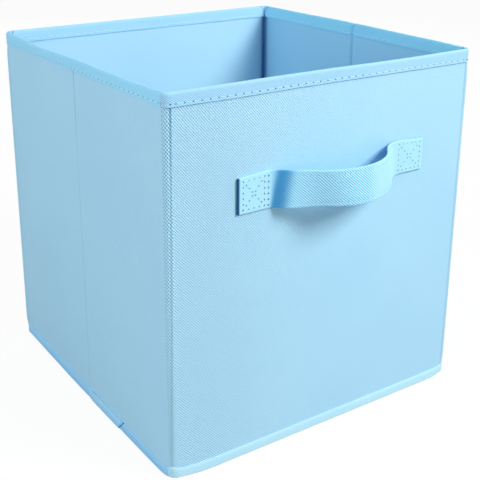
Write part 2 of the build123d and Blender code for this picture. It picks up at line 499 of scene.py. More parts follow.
# painted shade: a darker, bluer copy of the lining for the right wall, which lies in shade
shadedRightLiningLook = clothLook("rightLiningClothPaintedShade", {
    **liningValues, "pale": tone(178, 230, 250), "dark": tone(88, 170, 236)})
tapeValues = {
    "pale": tone(193, 236, 252), "dark": tone(92, 168, 228), "deep": tone(36, 112, 172), "deepest": navy,
    "pitch": (0.0019, 0.0017), "falling": 0.55, "rising": 0.45, "contrast": 0.9, "middle": 0.4, "flat": 0.4,
    "cloud": 0.14, "fibre": 0.12, "rough": 0.85, "bump": 0.5, "emboss": 0.0002, "sheen": 0.03,
    "starts": (-0.1345, -0.1335), "before": 0.3, "fades": (-0.125, 0.1), "below": 1.0, "least": 0.05,
    "broken": 0.0}
# copies of one rim tape tinted per wall: painted shade, a deeper blue, on the left and right tapes, and
# painted light, a paler tone, on the back tape
shadedSideTapeValues = {
    **tapeValues, "pale": tone(174, 237, 255), "dark": tone(80, 172, 252), "flat": 0.24, "middle": 0.24}
rimLooks = {
    "front": clothLook("rimTape", tapeValues),
    "left": clothLook("leftTapePaintedShade", shadedSideTapeValues),
    "right": clothLook("rightTapePaintedShade", {
        **shadedSideTapeValues, "pale": tone(162, 236, 255), "dark": tone(72, 172, 254)}),
    "back": clothLook("backTapePaintedLight", {**tapeValues, "pale": tone(190, 237, 255), "flat": 0.34, "middle": 0.34})}
cornerTapeLook = clothLook("cornerTape", {
    **tapeValues, "dark": tone(72, 154, 222), "contrast": 1.2, "middle": 0.34, "starts": (-2.0, -1.0)})
hemLook = clothLook("hemTape", {
    **tapeValues, "pale": tone(196, 241, 255), "deep": tone(94, 188, 255), "contrast": 0.2, "middle": 0.1,
    "flat": 0.1})
strapLook = clothLook("strapCloth", {
    "pale": tone(205, 243, 253), "dark": tone(36, 198, 255), "deep": tone(6, 138, 204),
    "deepest": tone(0, 80, 122), "pitch": (0.00216, 0.00186), "falling": 0.8, "rising": 0.2,
    "contrast": 1.65, "middle": 0.34, "flat": 0.3, "cloud": 0.10, "fibre": 0.10, "rough": 0.8, "bump": 0.49,
    "emboss": 0.00025, "sheen": 0.04, "starts": (-0.058, -0.052), "before": 0.15, "fades": (0.006, 0.021),
    "below": 1.0, "least": 0.03, "broken": 0.0})


# plain finishes with a fine grain
grainLevels = {"from": 0.3, "to": 0.7, "rough": 0.2, "bump": 0.4}


def plainLook(name, values):
    look, bsdf, wire = startLook(name)
    grain = wire.noise(wire.node("ShaderNodeTexCoord", {}, {}, 3), values["scale"], 4.0)
    shade = grain.between(grainLevels["from"], grainLevels["to"])
    wire.mix(shade, values["pale"], values["dark"]).feed(bsdf, "Base Color")
    (values["rough"] + (grain - 0.5) * grainLevels["rough"]).feed(bsdf, "Roughness")
    wire.bump(grainLevels["bump"], values["bump"], grain).feed(bsdf, "Normal")
    bsdf.inputs["Specular IOR Level"].default_value = values["shine"]
    return look


threadLook = plainLook("sewingThread", {
    "pale": tone(200, 242, 255), "dark": tone(164, 218, 242), "scale": 2600.0, "rough": 0.55,
    "bump": 0.0001, "shine": 0.4})
# painted shade: the needle holes are dark pieces standing for the shade inside them
holeShadeLook = plainLook("needleHolePaintedShade", {
    "pale": tone(66, 130, 164), "dark": tone(40, 98, 136), "scale": 900.0, "rough": 0.9,
    "bump": 0.0001, "shine": 0.1})
boardLook = plainLook("greyBoard", {
    "pale": tone(168, 160, 148), "dark": tone(132, 124, 112), "scale": 420.0, "rough": 0.9,
    "bump": 0.0002, "shine": 0.2})
print("looks made")


def dress(piece, look):
    piece.data.materials.clear()
    piece.data.materials.append(look)


# the wall boards end just under the rim tape and short of a crease, and the base panel has rounded corners
board = {"underTape": 0.001, "edge": 0.0003, "panelRound": 0.0105, "fromCrease": 0.003}
for body in ("front", "back", "left_front", "left_rear", "right_front", "right_rear", "base_panel"):
    boardLow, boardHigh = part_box(f"{body}_board")
    boardHigh.z = min(boardHigh.z, rimLow.z - board["underTape"])
    if body.endswith("_front"):
        boardHigh.y = min(boardHigh.y, -board["fromCrease"])
    if body.endswith("_rear"):
        boardLow.y = max(boardLow.y, board["fromCrease"])
    bpy.ops.object.select_all(action="DESELECT")
    bpy.ops.mesh.primitive_cube_add(size=1)
    core = shapeNew(f"{body}_board_core")
    bpy.ops.mesh.select_all(action="SELECT")
    bpy.ops.transform.resize(value=boardHigh - boardLow)
    bpy.ops.transform.translate(value=(boardLow + boardHigh) / 2)
    if body == "base_panel":
        bpy.ops.mesh.select_mode(type="EDGE")
        mesh = bmesh.from_edit_mesh(core.data)
        for edge in mesh.edges:
            edge.select_set(abs(edge.verts[0].co.z - edge.verts[1].co.z) > touching)
        bmesh.update_edit_mesh(core.data)
        bpy.ops.mesh.bevel(offset=board["panelRound"], segments=8, affect="EDGES")
    bpy.ops.object.mode_set(mode="OBJECT")
    roundEdges(core, board["edge"], 2)
    smoothBy(core, 40)
    dress(core, boardLook)
    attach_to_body(core, body)
    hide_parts(f"{body}_board")
print("boards made")

# wall cloth and lining, stretched over the boards
panel = {"cloth": 0.00055, "columns": 44, "rows": 46, "bulge": 0.00035, "ripple": 0.00018,
         "rippleSize": 0.055, "liningBulge": 0.2, "mostPressed": 0.0005,
         "tapeCuts": (-0.0003, 0.0003, 0.0009), "endCuts": (0.0003, 0.0007, 0.0012, 0.0018, 0.0028),
         "creaseCuts": (0.00015, creaseGap, 0.0007, 0.0012, 0.0018)}
# painted shade: how dark the lining is at its upright edges and beside them, and the outer cloth just under
# the tape
panelPaintedShade = {"edge": 0.6, "edgeWidth": 0.0021, "beside": 0.32, "besideWidth": 0.012, "crease": 0.04,
             "underTape": 0.36, "underTapeDown": 0.0003, "underTapeWidth": 0.0005}


def wallPanel(name, start, stop, inside, halves, seed):
    out = -wallThick if inside else 0.0
    sheet = flatStrip(name, start, stop, wallBottom, wallTop, panel["columns"], panel["rows"], out)
    cutEnds(start, stop, panel["endCuts"])
    cutLines([rimLow.z - gap for gap in panel["tapeCuts"]], (0, 0, 1))
    if halves == 2:
        cutCrease((start + stop) / 2, panel["creaseCuts"])
    if inside:
        bpy.ops.mesh.select_all(action="SELECT")
        bpy.ops.mesh.flip_normals()
    bpy.ops.object.mode_set(mode="OBJECT")
    points = getPoints(sheet)
    share = (points[:, 0] - start) / (stop - start)
    rise = (points[:, 2] - wallBottom) / (wallTop - wallBottom)
    lift = np.abs(np.sin(pi * halves * share)) * np.sin(pi * rise)
    lift = lift * (panel["bulge"] + ripple(points, panel["rippleSize"], panel["ripple"], seed))
    deep = np.minimum(pressed(points[:, 0], points[:, 2]), panel["mostPressed"])
    points[:, 1] += (lift * panel["liningBulge"] - deep) if inside else (deep - lift)
    curlBottom(points)
    setPoints(sheet, points)
    thicken(sheet, panel["cloth"])

    # painted shade: the lining darkens towards its upright edges, the outer cloth in a thin line under the
    # tape and along the grooves
    def shadeOf(points):
        along, height = points[:, 0], points[:, 2]
        if inside:
            gap = np.minimum(along - start, stop - along)
            edge = panelPaintedShade["edge"] * dip(gap, panelPaintedShade["edgeWidth"])
            edge = edge + panelPaintedShade["beside"] * np.exp(-gap / panelPaintedShade["besideWidth"])
            return edge + panelPaintedShade["crease"] * grooveLines(along)[2]
        line = dip(height - rimLow.z + panelPaintedShade["underTapeDown"], panelPaintedShade["underTapeWidth"])
        return np.maximum(panelPaintedShade["underTape"] * line * (halves == 1), grooveShade(along, height))
    return putOnBin(sheet, angle=40, shadeOf=shadeOf)


spans = {
    "front": (-cornerX, cornerX, 1), "back": (halfRound - cornerX, halfRound + cornerX, 1),
    "right": (sideStart + creaseGap, sideStop - creaseGap, 2),
    "left": (-sideStop + creaseGap, -sideStart - creaseGap, 2)}
creaseX = halfWidth + tapeStand + creaseGap


def carry(piece, side):
    # front and back ride their wall, a side is baked in place as it is
    if side in ("front", "back"):
        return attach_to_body(piece, side)
    x = creaseX if side == "right" else -creaseX
    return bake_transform(piece)


def partsOf(side, layer):
    if side in ("front", "back"):
        return [f"{side}_{layer}"]
    return [f"{side}_front_{layer}", f"{side}_rear_{layer}"]


for seed, (side, (start, stop, halves)) in enumerate(spans.items()):
    layers = [("outer_cloth", outerLook, "outer_cloth"),
              ("lining", shadedRightLiningLook if side == "right" else liningLook, "lining_cloth")]
    for layer, look, slotName in layers:
        sheet = wallPanel(f"{side}_wall_{layer}", start, stop, layer == "lining", halves, seed + 1)
        dress(sheet, look)
        carry(sheet, side)
        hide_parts(*partsOf(side, layer))
        stop - start
        partsOf(side, "board")
print("wall cloth and lining made")


# soft corners: the cloth turns round with no board, and comes back along both board edges
corner = {"cloth": 0.0006, "columns": 24, "rows": 46, "flange": 0.0019, "lean": 0.0002,
          "bulgeEnds": 0.012, "endBulge": 0.3, "leastBulge": 0.15, "underIn": 0.00008}
# painted shade on the corner cloth: on its inside and on the flanges that turn in along the board edges
cornerPaintedShade = {"inner": 0.6, "innerEdges": 0.3, "flange": 0.8, "flangeFrom": 0.0011, "flangeOver": 0.0003}
corners = {
    "front_right": (cornerX, sideStart + creaseGap, "front", "right_front", (1, -1), (1, 1)),
    "front_left": (-sideStart - creaseGap, -cornerX, "front", "left_front", (-1, -1), (-1, 1)),
    "back_left": (-sideStop - cornerArc, -sideStop + creaseGap, "left_rear", "back", (-1, 1), (1, 1)),
    "back_right": (sideStop - creaseGap, sideStop + cornerArc, "right_rear", "back", (1, 1), (-1, 1))}
# how far each corner stands out beyond its round, at the bottom and at the top
cornerBulge = {"front_right": (0.0009, 0.0009), "front_left": (0.0002, 0.0001), "back_left": (0.0018, 0.0011),
               "back_right": (0.0006, 0.0004)}


def cornerCloth(name, key, start, stop, out):
    strip = flatStrip(name, start, stop, wallBottom, wallTop, corner["columns"], corner["rows"], 0)
    bpy.ops.object.mode_set(mode="OBJECT")
    points = getPoints(strip)
    along, depth, height = points.T.copy()
    rise = (height - wallBottom) / (wallTop - wallBottom)
    low, high = cornerBulge[key]
    ends = np.minimum(height - hemTop, rimLow.z - height) / corner["bulgeEnds"] + corner["endBulge"]
    bulge = (low + (high - low) * rise) * np.sin(pi * (along - start) / (stop - start))
    bulge = bulge * np.clip(ends, corner["leastBulge"], 1)
    points[:, 1] += pressed(along, height) - bulge - out
    curlBottom(points)
    setPoints(strip, points)
    bpy.ops.object.mode_set(mode="EDIT")
    for edge, inwards in ((start, 1), (stop, -1)):
        pickEdges(strip, lambda spot: abs(spot.x - edge) < touching)
        for step in range(2):
            extrudeBy(inwards * corner["lean"] / 2, corner["flange"] / 2, 0)
    bpy.ops.object.mode_set(mode="OBJECT")
    outside = len(strip.data.vertices)
    thicken(strip, corner["cloth"])

    def shadeOf(points):
        along, depth, height = points.T
        inside = np.arange(len(points)) >= outside
        flange = cornerPaintedShade["flange"] * ramp(depth - cornerPaintedShade["flangeFrom"], cornerPaintedShade["flangeOver"])
        fromMiddle = 2 * (along - start) / (stop - start) - 1
        inner = inside * (cornerPaintedShade["inner"] + cornerPaintedShade["innerEdges"] * fromMiddle ** 2)
        return np.maximum(grooveShade(along, height), np.maximum(inner, flange))
    return putOnBin(strip, angle=60, shadeOf=shadeOf)


def carryCorner(piece, key, reach):
    # the back right piece stays with the back wall, and the other corners are baked in place as they are
    if key == "back_right":
        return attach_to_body(piece, "back")
    first, second, place, way = corners[key][2:]
    axis = (place[0] * cornerX, place[1] * cornerY)
    near = reach / 2
    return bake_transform(piece, first, second, (axis[0] - way[0] * near, axis[1] - way[1] * near, bendHeight),
                    (axis[0] + way[0] * near, axis[1] + way[1] * near, bendHeight))


for key, (start, stop, first, second, place, way) in corners.items():
    look = backCornerShadeLook if key == "back_right" else cornerLook
    flatSize = (stop - start + 2 * corner["flange"], wallTop - wallBottom)
    cloth = cornerCloth(f"{key}_corner", key, start, stop, 0)
    dress(cloth, look)
    carryCorner(cloth, key, cornerRadius - wallThick)
    if key == "back_right":
        under = cornerCloth("back_right_corner_under", key, start, stop, -corner["underIn"])
        dress(under, look)
        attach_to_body(under, "right_rear")
    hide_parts(f"{key}_corner_cloth")
print("soft corners made")


# rim tape: outer leaf, rounded fold over the wall's top, inner leaf
rim = {"tape": 0.00045, "columnLength": 0.0016, "leastColumns": 24, "leafRows": 9, "foldSteps": 8,
       "innerSteps": 8, "innerLeaf": 0.010, "stitches": 167, "stitchUp": 0.0021, "tuck": 0.72,
       "tuckWidth": 0.0036,
       "flare": 0.00015, "flareWidth": 0.0011, "dent": 0.0001, "dentWidth": 0.0008, "dentVaries": 0.25,
       "ripple": 0.00012, "rippleSize": 0.012, "rippleOver": 0.004, "wave": 0.0002, "waveSize": 0.021,
       "waveFrom": 0.003, "waveOver": 0.007, "notch": 0.0006, "shortest": 0.02,
       "endCuts": (0.0003, 0.0006, 0.0009, 0.0012, 0.0016, 0.002),
       "creaseCuts": (0.00015, creaseGap, 0.0008, 0.0014),
       "flat": 0.0235, "cornerFlat": (0.0235, 0.0101), "cornerArea": 0.00017}
# painted shade on the rim tape: at the creases, and two dark lines that run into each inner corner from this
# far at the top
rimPaintedShade = {"crease": 0.06, "innerCrease": 0.15, "line": 0.75, "lineFrom": 0.0056, "lineWidth": 0.0005}
rimBottom = rimLow.z
rimTop = rimHigh.z
rimInnerBottom = rimTop - rim["innerLeaf"]
rimHalf = (wallThick + 2 * tapeStand) / 2
stitchPitch = 2 * halfRound / rim["stitches"]
rimOuterStitch = rimBottom + rim["stitchUp"]
rimInnerStitch = rimInnerBottom + rim["stitchUp"]
cornerMiddles = (frontRun + cornerArc / 2, halfRound - cornerArc / 2)


def rimTape(name, start, stop, halves=1, out=0.0):
    columns = max(rim["leastColumns"], round((stop - start) / rim["columnLength"]))
    shoulder = rimTop - rimHalf
    middle = rimHalf - tapeStand
    strip = flatStrip(name, start, stop, rimBottom, shoulder, columns, rim["leafRows"], tapeStand)
    pickEdges(strip, lambda spot: spot.z > shoulder - touching)
    bpy.ops.mesh.spin(steps=rim["foldSteps"], angle=pi, center=(0, middle, shoulder), axis=(1, 0, 0))
    drop = (shoulder - rimInnerBottom) / rim["innerSteps"]
    for step in range(rim["innerSteps"]):
        extrudeBy(0, 0, -drop)
    if stop - start > rim["shortest"]:
        cutEnds(start, stop, rim["endCuts"])
    if halves == 2:
        cutCrease((start + stop) / 2, rim["creaseCuts"])
    bpy.ops.object.mode_set(mode="OBJECT")
    points = getPoints(strip)
    along, depth, height = points.T.copy()
    outer = depth < middle
    bottom = np.where(outer, rimBottom, rimInnerBottom)
    seam = np.where(outer, rimOuterStitch, rimInnerStitch)
    pull = 1 - rim["dentVaries"] + rim["dentVaries"] * np.cos(2 * pi * along / stitchPitch)
    push = rim["flare"] * dip(height - bottom, rim["flareWidth"])
    push -= rim["dent"] * pull * dip(height - seam, rim["dentWidth"])
    unevenness = ripple(points, rim["rippleSize"], rim["ripple"], seed=11)
    push += unevenness * ramp(rimTop - height, rim["rippleOver"])
    points[:, 1] += np.where(outer, -push, push)
    low = ramp(rimTop - rim["waveFrom"] - height, rim["waveOver"])
    leaf = np.stack([along, 0 * along, np.where(outer, 0.0, 0.1)], 1)  # each leaf has a wave of its own
    wave = ripple(leaf, rim["waveSize"], rim["wave"], seed=4)
    points[:, 2] += low * wave - rim["notch"] * grooveLines(along)[2] * (1 - low)
    place = (along + cornerX) % halfRound
    tuck = 0
    for centre in cornerMiddles:
        tuck = tuck + np.clip(1 - np.abs(place - centre) / rim["tuckWidth"], 0, 1)
    tuck = rim["tuck"] * tuck * tuck * (3 - 2 * tuck)
    points[:, 1] = np.where(outer, points[:, 1], middle + (points[:, 1] - middle) * (1 - tuck))
    points[:, 1] -= out
    setPoints(strip, points)
    thicken(strip, rim["tape"])
    points = getPoints(strip)
    along, depth, height = points.T.copy()
    outer = depth < middle
    place = (along + cornerX) % halfRound
    down = ramp(rimTop - height, rimTop - rimInnerBottom)
    # painted shade: the dark lines of the tuck at the inner corners, and at the creases
    lines = 0
    for centre, shown in zip(cornerMiddles, (along > 0, 1)):
        gap = (place - centre + halfRound / 2) % halfRound - halfRound / 2
        for way in (-1, 1):
            lines = lines + shown * dip(gap - way * rimPaintedShade["lineFrom"] * (1 - down), rimPaintedShade["lineWidth"])
    shade = np.where(outer, rimPaintedShade["crease"], rimPaintedShade["innerCrease"]) * grooveLines(along)[2]
    paintShade(strip, shade + np.where(outer, 0, rimPaintedShade["line"]) * lines)
    setPoints(strip, onBin(points))
    layUv(strip, along, np.where(outer, height, 2 * rimTop - height))
    smoothBy(strip, 50)
    return strip


for side, (start, stop, halves) in spans.items():
    tape = rimTape(f"{side}_rim_tape", start, stop, halves)
    dress(tape, rimLooks[side])
    carry(tape, side)
    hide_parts(*partsOf(side, "rim_binding"))
    stop - start
tapeReach = cornerRadius - wallThick - tapeStand
for key, (start, stop, first, second, place, way) in corners.items():
    tape = rimTape(f"{key}_rim_tape", start, stop)
    dress(tape, cornerTapeLook)
    carryCorner(tape, key, tapeReach)
    if key == "back_right":
        under = rimTape("back_right_rim_tape_under", start, stop, 1, -corner["underIn"])
        dress(under, cornerTapeLook)
        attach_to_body(under, "right_rear")
print("rim tape made")


# hem tape: covers the bottom seam and turns under the walls, and its end laps over the left wall
hem = {"tape": 0.0005, "columnLength": 0.003, "leastColumns": 8, "rows": 6, "roundSteps": 4, "stand": 0.0008,
       "round": 0.0007, "under": 0.0012, "turnUp": 0.003, "wave": 0.0003, "waveSize": 0.03, "ripple": 0.0001,
       "rippleSize": 0.014, "topStand": 0.00035, "topWidth": 0.001, "mostShare": 1.2, "lapStand": 0.0006,
       "lapAt": 0.055, "lapUp": 0.0007, "lapSlant": 0.008, "lapOver": 0.012, "lapUnder": 0.006,
       "peak": 0.0026, "peakWidth": 0.0042, "topCurl": 0.5, "creaseThin": 0.45, "creaseWidth": 0.006,
       "keep": 0.3}
# painted shade on the hem tape: the side walls' hem and the lap darker, the lower part darker than the top,
# and a dark line at the lap's edge
hemPaintedShade = {"side": 0.5, "lap": 0.4, "top": 0.75, "lower": 0.5, "lapEdge": 0.001}


def slantBy(height):
    return hem["lapSlant"] * (np.clip(height, 0, hemTop) / hemTop - 0.5)


def hemTape(name, start, stop, stand, shade, raised=0.0, slant=None):
    columns = max(hem["leastColumns"], round((stop - start) / hem["columnLength"]))
    strip = flatStrip(name, start, stop, hem["round"], hemTop + raised, columns, hem["rows"], stand)
    pickEdges(strip, lambda spot: spot.z < hem["round"] + touching)
    bpy.ops.mesh.spin(steps=hem["roundSteps"], angle=-pi / 2, center=(0, hem["round"] - stand, hem["round"]),
                      axis=(1, 0, 0))
    inwards = hem["under"] + stand - hem["round"]
    for step in range(2):
        extrudeBy(0, inwards / 2, 0)
    extrudeBy(0, 0, hem["turnUp"])
    bpy.ops.object.mode_set(mode="OBJECT")
    points = getPoints(strip)
    share = np.clip(points[:, 2] / hemTop, 0, hem["mostShare"]) * (points[:, 1] < -stand + 10 * touching)
    flatLine = np.stack([points[:, 0], 0 * share, 0 * share], 1)
    points[:, 2] += share * ripple(flatLine, hem["waveSize"], hem["wave"], seed=6)
    press = dip(points[:, 2] - hemTop, hem["topWidth"]) * share * (stand - hem["topStand"])
    points[:, 1] += press + ripple(points, hem["rippleSize"], hem["ripple"], seed=9) * share
    thin = hem["creaseThin"] * dip(np.abs(points[:, 0]) - creaseLine, hem["creaseWidth"])
    points[:, 1] -= np.minimum(points[:, 1], 0) * thin
    if slant is not None:
        points[:, 0] += np.clip(1 - (slant - points[:, 0]) / hem["lapOver"], 0, 1) * slantBy(points[:, 2])
    rise = np.clip(points[:, 2] / hemTop, 0, 1)
    peak = hem["peak"] * dip(points[:, 0] - hemCurl[0][0], hem["peakWidth"])
    points[:, 2] += curled(points[:, 0]) * (1 - hem["topCurl"] * rise) + peak * rise
    setPoints(strip, points)
    thicken(strip, hem["tape"])
    points = getPoints(strip)
    # painted shade, darker towards the bottom, darkest at the lap's edge
    shade = shade * (hemPaintedShade["top"] + hemPaintedShade["lower"] * np.clip(1 - points[:, 2] / hemTop, 0, 1))
    if slant is not None:
        shade = np.where(slant + slantBy(points[:, 2]) - points[:, 0] < hemPaintedShade["lapEdge"], 1.0, shade)
    paintShade(strip, shade)
    return strip


for side, (start, stop, halves) in spans.items():
    if halves == 1:
        reach = cornerArc + creaseGap / 2
        tape = putOnBin(hemTape(f"{side}_hem_tape", start - reach, stop + reach, hem["stand"], 0.0), angle=50)
        dress(tape, hemLook)
        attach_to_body(tape, side)
        if side == "back":
            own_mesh(tape)
        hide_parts(f"{side}_hem_binding")
        stop - start + 2 * reach
        continue
    for half in ("front", "rear"):
        low, high = sideStart + creaseGap, creaseLine
        if half == "rear":
            low, high = creaseLine, sideStop - creaseGap
        if side == "left":
            low, high = -high, -low
        strips = []
        if (side, half) == ("left", "front"):
            lap = -sideStart - cornerY + hem["lapAt"]
            lapStand = hem["stand"] + hem["lapStand"]
            strips.append(hemTape("left_front_hem_lap", low, lap, lapStand, hemPaintedShade["lap"], hem["lapUp"],
                                  lap))
            low = lap - hem["lapUnder"]
        strips.append(hemTape(f"{side}_{half}_hem_tape", low, high, hem["stand"], hemPaintedShade["side"]))
        tape = putOnBin(joinAll(f"{side}_{half}_hem_tape", strips[::-1]), angle=50)
        dress(tape, hemLook)
        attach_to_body(tape, f"{side}_{half}")
        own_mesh(tape)
        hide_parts(f"{side}_{half}_hem_binding")
print("hem tape made")


# base cloth that the bin stands on, and the panel in its sleeve
base = {"cloth": 0.0005, "cells": 26, "cornerCut": 0.0035, "sag": 0.00012, "sagSize": 0.05, "slope": 0.0085,
        "lowest": 0.00002, "keep": 0.09}
baseSize = (baseHigh.x - baseLow.x, baseHigh.y - baseLow.y)
baseCloth = startGrid("base_cloth_sheet", base["cells"], base["cells"], "VERT")
bpy.ops.transform.resize(value=(*baseSize, 1))
bpy.ops.transform.translate(value=(0, 0, baseHigh.z))
bpy.ops.mesh.select_all(action="DESELECT")
baseMesh = bmesh.from_edit_mesh(baseCloth.data)
for vert in baseMesh.verts:
    vert.select_set(len(vert.link_edges) == 2)
bmesh.update_edit_mesh(baseCloth.data)
bpy.ops.mesh.bevel(offset=base["cornerCut"], segments=4, affect="VERTICES")
bpy.ops.object.mode_set(mode="OBJECT")
points = getPoints(baseCloth)
points[:, 2] += ripple(points, base["sagSize"], base["sag"], seed=3) - base["sag"]
edgeGap = np.minimum(baseHigh.x - np.abs(points[:, 0]), baseHigh.y - np.abs(points[:, 1]))
points[:, 2] += curled(roundPlace(points[:, 0], points[:, 1])) * np.clip(1 - edgeGap / base["slope"], 0, 1)
setPoints(baseCloth, points)
thicken(baseCloth, base["cloth"])
points = getPoints(baseCloth)
points[:, 2] = np.maximum(points[:, 2], base["lowest"])
setPoints(baseCloth, points)
layUv(baseCloth, points[:, 0], points[:, 1])
smoothBy(baseCloth, 40)
dress(baseCloth, outerLook)
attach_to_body(baseCloth, "front")
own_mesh(baseCloth)
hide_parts("base_cloth")

sleeve = {"cloth": 0.0004, "cells": 30, "over": 0.0005, "edge": 0.0011, "puff": 0.00008, "puffSize": 0.045,
          "puffOver": 0.004, "seam": 0.0003, "seamIn": 0.006, "seamWidth": 0.0009, "round": 0.0115,
          "seamCuts": (-0.0016, -0.0007, 0, 0.0007, 0.0016)}
panelSleeve = startGrid("base_panel_sleeve", sleeve["cells"], sleeve["cells"], "VERT")
sleeveX = panelHigh.x + sleeve["over"]
sleeveLong = panelHigh.y - panelLow.y
sleeveY = (panelLow.y + panelHigh.y) / 2
bpy.ops.transform.resize(value=(2 * sleeveX, sleeveLong, 1))
bpy.ops.transform.translate(value=(0, sleeveY, panelHigh.z))
for gap in sleeve["seamCuts"]:
    inset = sleeve["seamIn"] + gap
    cutLines((sleeveX - inset, inset - sleeveX))
    cutLines((panelHigh.y - inset, panelLow.y + inset), (0, 1, 0))
bpy.ops.object.mode_set(mode="OBJECT")
thicken(panelSleeve, panelHigh.z - panelLow.z)
roundEdges(panelSleeve, sleeve["edge"], 4)
points = getPoints(panelSleeve)
fromEdge = np.minimum(panelHigh.y - points[:, 1], points[:, 1] - panelLow.y)
fromEdge = np.minimum(sleeveX - np.abs(points[:, 0]), fromEdge)
swell = ripple(points, sleeve["puffSize"], sleeve["puff"], seed=8) * ramp(fromEdge, sleeve["puffOver"])
swell -= sleeve["seam"] * dip(fromEdge - sleeve["seamIn"], sleeve["seamWidth"])
points[:, 2] += np.where(points[:, 2] > (panelLow.z + panelHigh.z) / 2, swell, -swell)
square = np.array([sleeveX, sleeveLong / 2]) - sleeve["round"]
fromMiddle = points[:, :2] - (0, sleeveY)
beyond = np.maximum(np.abs(fromMiddle) - square, 0)
scale = beyond.max(1) / np.maximum(np.hypot(*beyond.T), 1e-9)
points[:, :2] -= np.sign(fromMiddle) * beyond * (1 - scale)[:, None]
setPoints(panelSleeve, points)
layUv(panelSleeve, points[:, 0], points[:, 1])
thicken(panelSleeve, sleeve["cloth"])
smoothBy(panelSleeve, 50)
dress(panelSleeve, liningLook)
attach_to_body(panelSleeve, "base_panel")
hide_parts("base_panel_cover")
print("base made")


# carrying strap, with places along it and heights in metres
# beyond the "from" places its ends taper, lift or narrow over the "over" lengths
strap = {"thick": 0.0017, "columns": 150, "rows": 18, "edge": 0.0005, "puff": 0.00022, "puffOver": 0.003,
         "dent": 0.0003, "edgeSeam": 0.0034, "seamWidth": 0.0009, "middle": 0.004, "freeHalf": 0.059,
         "endLength": 0.025, "freeOver": 0.004, "margin": 0.003, "pitch": 0.004, "lift": 0.0006,
         "leftTaper": 0.0016, "leftFrom": -0.056, "leftOver": 0.025, "rightLift": 0.0022,
         "rightTaper": 0.0009, "rightFrom": 0.043, "rightOver": 0.02, "rightNarrow": 0.0017,
         "narrowFrom": 0.063, "narrowOver": 0.025, "endFold": 0.001, "slopeStep": 0.0004,
         "lengthSteps": 400, "bendNear": 0.002, "bendFar": 0.018, "axisHeight": 0.203}
# painted shade on the strap: a dark band where it rises from the left root, its back face darker towards the
# right root, its left end darkest
strapPaintedShade = {"root": 0.85, "rootAt": -0.0515, "rootLean": 0.0035, "rootBefore": 0.0027, "rootAfter": 0.0062,
             "back": 0.8, "backFrom": 0.02, "backOver": 0.03, "endWidth": 0.0012}
strapReach = strap["freeHalf"] + strap["endLength"]
strapBottom = strapLow.z
strapTop = strapHigh.z
# the outer face stands off the wall by these mm along the strap, at its lower and its upper edge
strapStand = np.array([
    (-80.5, 1.9, 1.9), (-79.0, 1.9, 1.9), (-70.0, 1.9, 1.9), (-60.0, 1.9, 1.9), (-56.0, 1.9, 1.9),
    (-53.0, 1.9, 2.1), (-50.0, 3.8, 4.6), (-46.5, 8.4, 7.7), (-43.0, 10.7, 10.7), (-38.0, 12.7, 13.8),
    (-31.0, 15.2, 18.4), (-24.0, 18.5, 23.5), (-15.0, 24.6, 28.0), (-3.0, 30.2, 30.4), (6.0, 30.9, 30.9),
    (14.0, 30.4, 30.0), (26.0, 26.9, 26.0), (38.0, 20.3, 17.9), (43.0, 16.6, 12.7), (48.0, 12.3, 7.2),
    (52.0, 8.4, 4.2), (55.0, 5.6, 2.8), (60.0, 2.8, 2.0), (63.5, 2.1, 1.9), (68.0, 1.9, 1.9),
    (78.0, 1.9, 1.9), (87.0, 1.9, 1.9), (88.5, 1.9, 1.9)]) * 0.001
strapX, strapLowStand, strapTopStand = strapStand.T.copy()


def smoothLine(places, levels, at):
    # a cubic through the points
    slopes = np.gradient(levels, places)
    slot = np.clip(np.searchsorted(places, at) - 1, 0, len(places) - 2)
    length = places[slot + 1] - places[slot]
    share = np.clip((at - places[slot]) / length, 0, 1)
    first = levels[slot] + share * length * slopes[slot]
    bend = levels[slot + 1] - levels[slot]
    curve = (3 * bend - length * (2 * slopes[slot] + slopes[slot + 1])) * share ** 2
    last = (length * (slopes[slot] + slopes[slot + 1]) - 2 * bend) * share ** 3
    return first + curve + last


def strapRise(z):
    return (z - strapBottom) / (strapTop - strapBottom)


def standOff(x, z):
    rise = np.clip(strapRise(z), 0, 1)
    return smoothLine(strapX, strapLowStand, x) * (1 - rise) + smoothLine(strapX, strapTopStand, x) * rise


def onStrap(points):
    # X and Z are places on the wall, Y is the depth under the strap's outer face
    x, depth, z = points.T
    rise = strapRise(z)
    z = z + strap["lift"] - strap["leftTaper"] * rise * ramp(strap["leftFrom"] - x, strap["leftOver"])
    raised = strap["rightLift"] - strap["rightTaper"] * rise
    z = z + raised * ramp(x - strap["rightFrom"], strap["rightOver"])
    z = z - strap["rightNarrow"] * rise * ramp(x - strap["narrowFrom"], strap["narrowOver"])
    step = strap["slopeStep"]
    slope = (standOff(x + step, z) - standOff(x - step, z)) / (2 * step)
    size = np.sqrt(1 + slope ** 2)
    return np.stack([x + depth * slope / size, depth / size - halfDepth - standOff(x, z), z], 1)


